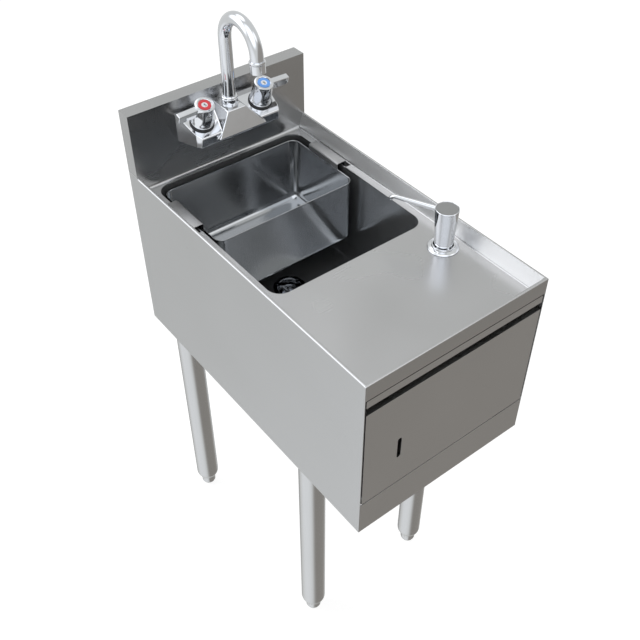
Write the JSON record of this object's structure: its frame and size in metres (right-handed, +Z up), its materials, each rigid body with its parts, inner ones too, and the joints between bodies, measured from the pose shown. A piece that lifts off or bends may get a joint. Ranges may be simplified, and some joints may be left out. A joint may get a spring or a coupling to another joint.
{
  "type": "bar sink with ice bin",
  "caption": "Freestanding bar sink on legs: drawn bowl with lift-out ice pan, splash-mounted gooseneck faucet with lever handles, deck soap pump and front towel compartment.",
  "frame": {"origin": "centre of the footprint of the body, at floor level under the feet", "axes": "+X to the user's right, -Y to the front (towel door), +Y to the wall, +Z up"},
  "size_m": [0.3048, 0.5412, 0.9753],
  "materials": {
    "brushed_steel": "fine brushed sheet, satin",
    "drawn_steel": "drawn sheet, satin to bright at the coves",
    "galvanized_steel": "plain galvanized sheet",
    "leg_steel": "satin tube",
    "foot_steel": "turned, semi-bright",
    "chrome": "polished chrome plate",
    "chrome_drain": "polished, dulled by use",
    "plain_brass": "plain machined brass",
    "black_rubber": "matt black rubber",
    "black_plastic": "moulded",
    "red_plastic": "gloss",
    "blue_plastic": "gloss",
    "clear_plastic": "milky moulded plastic"
  },
  "bodies": {
    "casing": {"deck_tray": "brushed_steel", "sink_bowl": "drawn_steel", "backsplash": "brushed_steel", "left_side_panel": "brushed_steel", "right_side_panel": "brushed_steel", "front_apron": "brushed_steel", "towel_slot_rail": "brushed_steel", "lower_front_panel": "brushed_steel", "divider_panel": "galvanized_steel", "towel_shelf": "galvanized_steel", "pan_ledge_left": "brushed_steel", "pan_ledge_right": "brushed_steel", "front_leg_channel": "galvanized_steel", "rear_leg_channel": "galvanized_steel", "leg_sockets": "galvanized_steel", "leg_front_left": "leg_steel", "leg_front_right": "leg_steel", "leg_rear_left": "leg_steel", "leg_rear_right": "leg_steel", "leg_set_screws": "foot_steel", "door_pivots": "foot_steel", "door_catches": "black_rubber", "drain_flange": "chrome_drain", "drain_strainer": "chrome_drain", "drain_gasket": "black_rubber", "drain_locknut": "plain_brass", "drain_tailpiece": "chrome_drain", "faucet_body": "chrome", "hot_shank": "plain_brass", "cold_shank": "plain_brass", "shank_locknuts": "plain_brass", "hot_elbow": "plain_brass", "cold_elbow": "plain_brass", "spout_nut": "chrome", "spout_bush": "black_rubber", "hot_bonnet": "black_rubber", "cold_bonnet": "black_rubber", "soap_collar": "chrome", "soap_nut": "black_plastic", "soap_bottle": "clear_plastic", "soap_dip_tube": "clear_plastic", "soap_spring": "foot_steel"},
    "spout": {"spout_tube": "chrome", "aerator": "chrome"},
    "hot_valve": {"hot_handle": "chrome", "hot_index": "red_plastic", "hot_screw": "chrome", "hot_stem": "plain_brass"},
    "cold_valve": {"cold_handle": "chrome", "cold_index": "blue_plastic", "cold_screw": "chrome", "cold_stem": "plain_brass"},
    "soap_plunger": {"soap_stem": "foot_steel"},
    "soap_top": {"soap_head": "chrome"},
    "pan": {"ice_pan": "drawn_steel"},
    "door": {"towel_door": "brushed_steel"},
    "front_left_foot": {"foot_front_left": "foot_steel"},
    "front_right_foot": {"foot_front_right": "foot_steel"},
    "rear_left_foot": {"foot_rear_left": "foot_steel"},
    "rear_right_foot": {"foot_rear_right": "foot_steel"}
  },
  "joints": [
    {"name": "spout_swivel", "type": "hinge", "parent": "casing", "child": "spout", "pos_m": [0, 0.22165, 0.8251], "axis": [0, 0, 1], "range_deg": [-90, 90]},
    {"name": "hot_turn", "type": "hinge", "parent": "casing", "child": "hot_valve", "pos_m": [-0.0508, 0.21905, 0.8131], "axis": [0, -0.342, 0.9397], "range_deg": [0, 90]},
    {"name": "cold_turn", "type": "hinge", "parent": "casing", "child": "cold_valve", "pos_m": [0.0508, 0.21905, 0.8131], "axis": [0, -0.342, 0.9397], "range_deg": [-90, 0]},
    {"name": "soap_press", "type": "slide", "parent": "casing", "child": "soap_plunger", "axis": [0, 0, -1], "range_m": [0, 0.015], "stiffness_N_per_m": 600, "springref_m": -0.008, "deforming": ["soap_spring"]},
    {"name": "soap_swivel", "type": "hinge", "parent": "soap_plunger", "child": "soap_top", "pos_m": [0.1116, -0.12155, 0.7275], "axis": [0, 0, 1], "continuous": true},
    {"name": "pan_lift_out", "type": "slide", "parent": "casing", "child": "pan", "axis": [0, -0.6428, 0.766], "range_m": [0, 0.16]},
    {"name": "door_tilt", "type": "hinge", "parent": "casing", "child": "door", "pos_m": [0, -0.26465, 0.5225], "axis": [1, 0, 0], "range_deg": [0, 47]},
    {"name": "front_left_foot_adjust", "type": "slide", "parent": "casing", "child": "front_left_foot", "axis": [0, 0, -1], "range_m": [0, 0.025]},
    {"name": "front_right_foot_adjust", "type": "slide", "parent": "casing", "child": "front_right_foot", "axis": [0, 0, -1], "range_m": [0, 0.025]},
    {"name": "rear_left_foot_adjust", "type": "slide", "parent": "casing", "child": "rear_left_foot", "axis": [0, 0, -1], "range_m": [0, 0.025]},
    {"name": "rear_right_foot_adjust", "type": "slide", "parent": "casing", "child": "rear_right_foot", "axis": [0, 0, -1], "range_m": [0, 0.025]}
  ]
}
